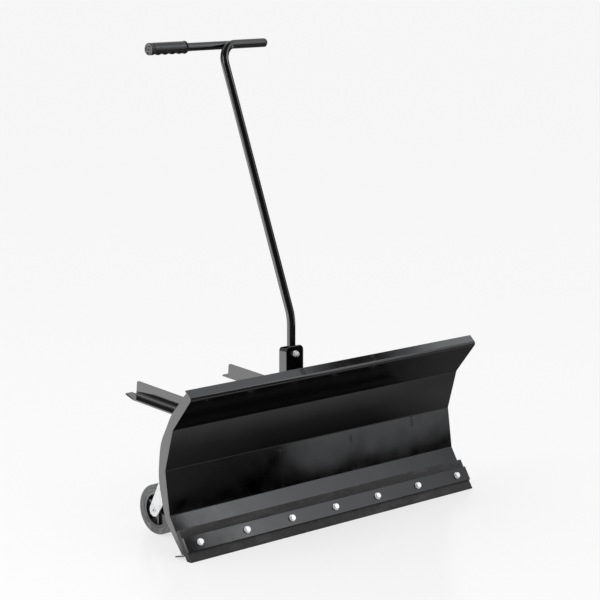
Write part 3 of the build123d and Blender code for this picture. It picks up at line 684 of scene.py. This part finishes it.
def make_grip():
    """Moulded grip: finger waves underneath, ribs over the palm side, ringed end cap."""
    low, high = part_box("grip")
    bar_r = (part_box("cross_bar")[1][2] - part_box("cross_bar")[0][2]) / 2
    centre = Vector((0, middle("cross_bar").y, middle("cross_bar").z))
    x0, x1 = low[0], high[0]
    body_r, end_r, lip_r = 0.0152, 0.0157, 0.0166
    wave_pitch, wave_start = 0.0235, x0 + 0.019

    def shape(x, radius, a):
        if radius < bar_r + 0.002:
            return radius
        under = max(0.0, -math.sin(a)) ** 1.5
        inside = min(1.0, max(0.0, (x - x0 - 0.008) / 0.004), max(0.0, (x1 - 0.009 - x) / 0.004))
        wave = 0.5 - 0.5 * math.cos(2 * math.pi * (x - wave_start) / wave_pitch)
        rib = max(0.0, math.cos(2 * math.pi * (x - x0) / 0.0047)) ** 2
        palm = max(0.0, math.sin(a + 0.6)) ** 0.5
        flute = 0.5 + 0.5 * math.cos(a * 26)
        r = radius + inside * under * (0.0026 * wave - 0.0016)
        return r + inside * 0.0008 * rib * palm * (0.3 + 0.7 * flute)

    steps = 300
    outer = []
    for i in range(steps + 1):
        x = x0 + (x1 - x0) * i / steps
        r = body_r + (end_r - body_r) * smooth_bump(x, x0 + 0.003, 0.007)
        r += (lip_r - body_r) * smooth_bump(x, x1 - 0.003, 0.0045)
        r -= 0.0005 * smooth_bump(x, x0 + 0.0085, 0.002)
        edge = min(x - x0, x1 - x)
        if edge < 0.0015:
            r -= 0.0015 - math.sqrt(max(0.0, 0.0015 ** 2 - (0.0015 - edge) ** 2))
        outer.append((x, r))
    ring_groove, bore = 0.0095, bar_r
    face = [(x0 + 0.0035, 0.0004), (x0 + 0.0032, 0.0022), (x0 + 0.0006, 0.0034),
            (x0 + 0.0004, ring_groove - 0.0026), (x0 + 0.0022, ring_groove - 0.0014),
            (x0 + 0.0022, ring_groove + 0.0006), (x0 + 0.0002, ring_groove + 0.0018)]
    back = [(x1, bore + 0.001), (x1 - 0.0005, bore), (x0 + 0.004, bore), (x0 + 0.004, 0.0004)]
    mesh = lathe_x("hand_grip", face + outer + back, centre, 144, shape)
    add_piece("hand_grip", mesh, "plastic_black", "lever", "grip")


def make_tyres():
    """Solid tyres with grooved tread, soft shoulders and ringed walls."""
    for hand in ("left", "right"):
        node = "castor_tyre_" + hand
        low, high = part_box(node)
        centre = middle(node)
        half, tyre_r = (high[0] - low[0]) / 2, (high[2] - low[2]) / 2
        rim_r = (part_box("castor_rim_" + hand)[1][2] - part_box("castor_rim_" + hand)[0][2]) / 2
        wall = [(0.0128, rim_r - 0.0002), (half - 0.0022, rim_r + 0.0004),
                (half - 0.001, rim_r + 0.0022), (half - 0.0012, rim_r + 0.0034),
                (half - 0.0002, rim_r + 0.0042), (half, rim_r + 0.0065),
                (half - 0.0003, rim_r + 0.0070), (half - 0.0014, rim_r + 0.0074),
                (half - 0.0014, rim_r + 0.0080), (half - 0.0003, rim_r + 0.0084),
                (half - 0.0001, rim_r + 0.0105), (half - 0.0012, rim_r + 0.0110),
                (half - 0.0004, rim_r + 0.0116), (half - 0.0004, rim_r + 0.0125)]
        shoulder = 0.0036
        for i in range(9):
            a = math.radians(90 * i / 8)
            wall.append((half - 0.004 + shoulder * math.cos(a),
                         tyre_r - shoulder + shoulder * math.sin(a)))
        tread = [(0.0066, tyre_r), (0.0062, tyre_r - 0.0004), (0.0058, tyre_r - 0.0013),
                 (0.0052, tyre_r - 0.0013), (0.0048, tyre_r - 0.0004), (0.0044, tyre_r),
                 (0.0009, tyre_r), (0.0006, tyre_r - 0.0007)]
        one = wall + tread
        profile = one + [(-x, r) for x, r in reversed(one)]

        def shape(x, radius, a, half=half, rim_r=rim_r):
            if rim_r + 0.0082 < radius < rim_r + 0.0107:
                return radius + 0.0002 * math.cos(a * 72)
            return radius

        mesh = lathe_x("tyre_" + hand, profile, centre, 192, shape, join_ends=True)
        add_piece("tyre_" + hand, mesh, "tyre", "wheel_" + hand, node)


# ---------------------------------------------------------------- studio
def make_floor():
    mesh = bpy.data.meshes.new("floor")
    half = FLOOR_HALF
    corners = [(-half, -half, 0), (half, -half, 0), (half, half, 0), (-half, half, 0)]
    mesh.from_pydata(corners, [], [(0, 1, 2, 3)])
    floor = bpy.data.objects.new("floor", mesh)
    bpy.context.scene.collection.objects.link(floor)
    floor.data.materials.append(pale_floor("floor"))


def soft_light(name, place, target, size, power):
    """Rectangular soft box that points at target."""
    data = bpy.data.lights.new(name, "AREA")
    data.shape = "RECTANGLE"
    data.size, data.size_y = size
    data.energy = power
    light = bpy.data.objects.new(name, data)
    light.location = place
    light.rotation_mode = "QUATERNION"
    light.rotation_quaternion = (Vector(target) - Vector(place)).to_track_quat("-Z", "Y")
    bpy.context.scene.collection.objects.link(light)
    return light


def softbox(name, place, facing, size, strength, fade=0.25, slope=(0.0, 0.0)):
    """Glowing panel that only polished surfaces see; it fades at its rim and can slope."""
    mesh = bpy.data.meshes.new(name)
    x, y = size[0] / 2, size[1] / 2
    mesh.from_pydata([(-x, -y, 0), (x, -y, 0), (x, y, 0), (-x, y, 0)], [], [(0, 1, 2, 3)])
    panel = bpy.data.objects.new(name, mesh)
    panel.location = place
    panel.rotation_mode = "QUATERNION"
    panel.rotation_quaternion = Vector(facing).to_track_quat("Z", "Y")
    for ray in ("camera", "diffuse", "transmission", "volume_scatter", "shadow"):
        setattr(panel, "visible_" + ray, False)
    bpy.context.scene.collection.objects.link(panel)
    s = Shader(name)
    split = s.add("ShaderNodeSeparateXYZ")
    s.link(s.where, split.inputs[0])
    glow = strength
    for half, axis in ((x, 0), (y, 1)):
        edge = s.math("ABSOLUTE", split.outputs[axis])
        rim = s.remap(edge, half, half * (1 - fade))
        tilt = s.math("ADD", s.math("MULTIPLY", split.outputs[axis], slope[axis]), 1.0)
        glow = s.math("MULTIPLY", glow, s.math("MULTIPLY", rim, tilt))
    glow = s.math("MULTIPLY", glow, s.math("GREATER_THAN", s.ray_start_height(), FLOOR_SKIN))
    light, clear = s.add("ShaderNodeEmission"), s.add("ShaderNodeBsdfTransparent")
    s.fill(light.inputs["Color"], COOL)
    s.link(s.math("MAXIMUM", glow, 0.0), light.inputs["Strength"])
    add = s.add("ShaderNodeAddShader")
    s.link(light.outputs[0], add.inputs[0])
    s.link(clear.outputs[0], add.inputs[1])
    s.link(add.outputs[0], s.tree.nodes["Material Output"].inputs["Surface"])
    mesh.materials.append(s.material)
    return panel


def make_world():
    """Even white light; polished surfaces see a studio that is dark on the camera's side."""
    world = bpy.data.worlds.new("studio")
    bpy.context.scene.world = world
    world.use_nodes = True
    tree = world.node_tree
    where = tree.nodes.new("ShaderNodeTexCoord")
    split = tree.nodes.new("ShaderNodeSeparateXYZ")
    tree.links.new(where.outputs["Generated"], split.inputs[0])
    depth = tree.nodes.new("ShaderNodeMapRange")
    for i, number in enumerate((-0.1, 0.5, 0.0, 1.0), 1):
        depth.inputs[i].default_value = number
    tree.links.new(split.outputs[1], depth.inputs[0])
    room = tree.nodes.new("ShaderNodeMix")
    room.data_type = "RGBA"
    room.inputs[6].default_value = (0.10, 0.10, 0.105, 1)
    room.inputs[7].default_value = (0.75, 0.75, 0.76, 1)
    tree.links.new(depth.outputs[0], room.inputs[0])
    paths = tree.nodes.new("ShaderNodeLightPath")
    swap = tree.nodes.new("ShaderNodeMix")
    swap.data_type = "RGBA"
    swap.inputs[6].default_value = (1, 1, 1, 1)
    tree.links.new(paths.outputs["Is Glossy Ray"], swap.inputs[0])
    tree.links.new(room.outputs[2], swap.inputs[7])
    back = tree.nodes["Background"]
    tree.links.new(swap.outputs[2], back.inputs[0])
    back.inputs[1].default_value = SKY


def make_camera():
    data = bpy.data.cameras.new("camera")
    data.lens, data.sensor_width, data.shift_x = 134.19, 36, 0.0117
    camera = bpy.data.objects.new("camera", data)
    camera.location = (-3.8708, -3.8233, 1.5098)
    camera.rotation_mode = "QUATERNION"
    camera.rotation_quaternion = Vector((0.68637, 0.70696, -0.17059)).to_track_quat("-Z", "Y")
    bpy.context.scene.collection.objects.link(camera)
    bpy.context.scene.camera = camera


dress_nodes()
weld_blade()
weld_crest()
weld_carriage()
weld_frame()
weld_lever()
bolt_threads()
make_grip()
make_tyres()
make_floor()
make_world()
make_camera()
soft_light("key", (-2.6, 0.4, 2.6), (0, 0, 0.2), (1.6, 1.6), 28)
softbox("front_box", (3.0, -2.0, 1.4), (0, 1, 0), (2.4, 3.8), 1.11, 0.035, (0.8, 0.34))
softbox("front_fill", (1.0, -2.0, 0.3), (0, 1, 0), (1.6, 3.0), 0.5, 1.0)
softbox("ceiling_near", (1.3, -0.3, 2.5), (0, 0, -1), (1.5, 1.6), 1.5, 0.25)
softbox("ceiling_far", (3.0, -0.3, 2.5), (0, 0, -1), (1.3, 1.6), 2.2, 0.5)
softbox("ceiling_back", (2.1, 1.3, 3.3), (0, 0, -1), (3.0, 1.7), 0.5, 0.4)
softbox("back_box", (-0.9, 3.3, 3.0), (0.9, -3.0, -2.8), (1.6, 1.6), 2.6, 0.4)
softbox("ceiling_front", (2.3, -1.4, 2.5), (0, 0, -1), (3.6, 0.5), 3.0, 0.4)
softbox("right_low", (3.3, -0.8, 0.35), (-1, 0.25, 0), (0.5, 0.8), 7.0, 0.3)
for at, width, strength in ((1.885, 0.04, 2.4), (1.985, 0.06, 2.6), (2.19, 0.04, 1.5)):
    softbox(f"streak_{round(at * 1000)}", (at, -1.97, 1.9), (0, 1, 0), (width, 1.5), strength, 0.5)
softbox("left_box", (-3.0, 0.7, 1.5), (1, -0.15, -0.2), (0.4, 2.2), 7.0, 0.4)
bpy.context.scene.view_settings.view_transform = "Standard"
